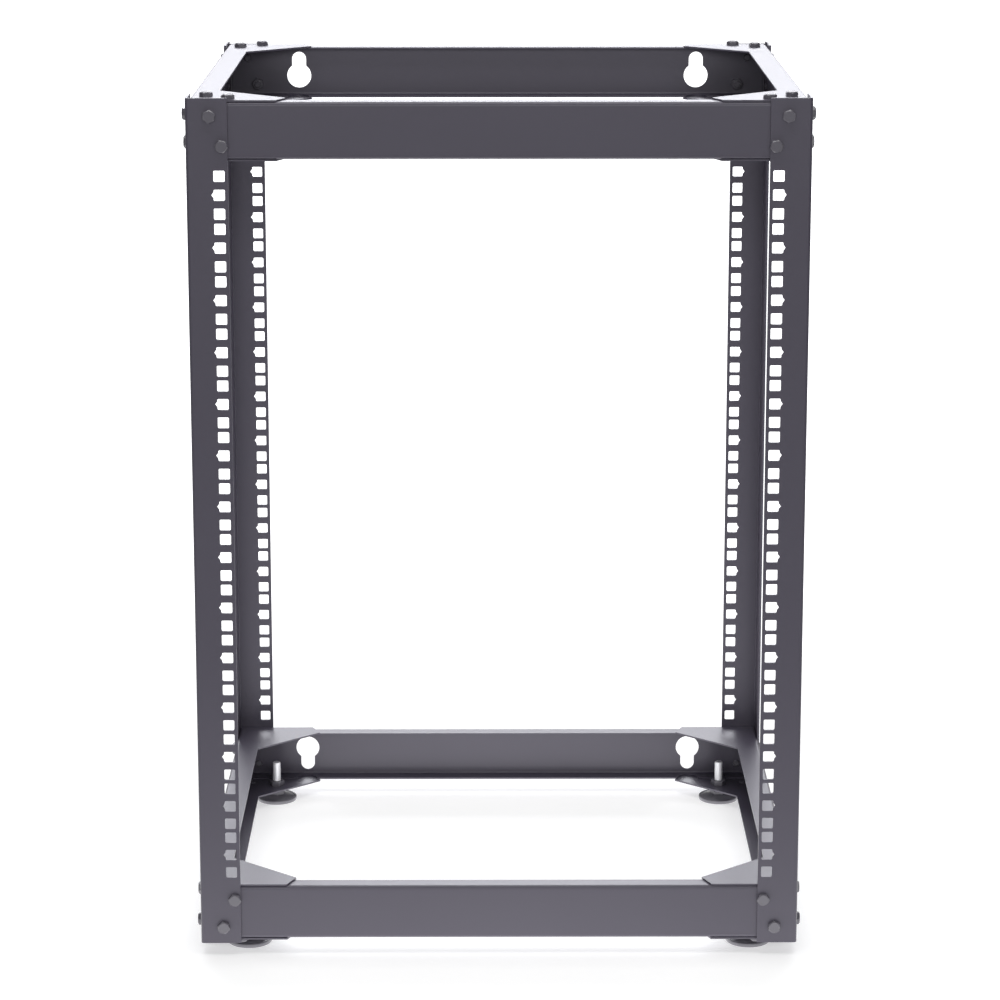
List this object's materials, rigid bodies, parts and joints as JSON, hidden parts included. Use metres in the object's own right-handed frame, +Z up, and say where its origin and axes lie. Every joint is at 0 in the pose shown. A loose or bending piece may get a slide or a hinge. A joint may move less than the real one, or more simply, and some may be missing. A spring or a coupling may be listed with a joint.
{
  "type": "four post open frame rack",
  "caption": "Open frame rack of bolted sheet steel: perforated angle posts, channel beams and side rails with corner wings, and levelling feet.",
  "frame": {"origin": "on the floor under the middle of the frame", "axes": "+Z up, +X to the right seen from the front, -Y out of the front"},
  "size_m": [0.52, 0.45, 0.751],
  "materials": {
    "frame_coating": "satin dark grey powder coat",
    "zinc_stud": "bright zinc plate",
    "black_nut": "black oxide",
    "pad_plastic": "moulded black plastic"
  },
  "bodies": {
    "frame": {"beam_front_bottom": "frame_coating", "beam_front_top": "frame_coating", "beam_rear_bottom": "frame_coating", "beam_rear_top": "frame_coating", "foot_nut_front_left": "black_nut", "foot_nut_front_right": "black_nut", "foot_nut_rear_left": "black_nut", "foot_nut_rear_right": "black_nut", "post_front_left": "frame_coating", "post_front_right": "frame_coating", "post_rear_left": "frame_coating", "post_rear_right": "frame_coating", "side_rail_bottom_left": "frame_coating", "side_rail_bottom_right": "frame_coating", "side_rail_top_left": "frame_coating", "side_rail_top_right": "frame_coating"},
    "foot_front_left": {"foot_pad_front_left": "pad_plastic", "foot_stud_front_left": "zinc_stud"},
    "foot_front_right": {"foot_pad_front_right": "pad_plastic", "foot_stud_front_right": "zinc_stud"},
    "foot_rear_left": {"foot_pad_rear_left": "pad_plastic", "foot_stud_rear_left": "zinc_stud"},
    "foot_rear_right": {"foot_pad_rear_right": "pad_plastic", "foot_stud_rear_right": "zinc_stud"}
  },
  "joints": [
    {"name": "foot_front_left_height", "type": "slide", "parent": "frame", "child": "foot_front_left", "axis": [0, 0, -1], "range_m": [0, 0.015]},
    {"name": "foot_front_right_height", "type": "slide", "parent": "frame", "child": "foot_front_right", "axis": [0, 0, -1], "range_m": [0, 0.015]},
    {"name": "foot_rear_left_height", "type": "slide", "parent": "frame", "child": "foot_rear_left", "axis": [0, 0, -1], "range_m": [0, 0.015]},
    {"name": "foot_rear_right_height", "type": "slide", "parent": "frame", "child": "foot_rear_right", "axis": [0, 0, -1], "range_m": [0, 0.015]}
  ]
}
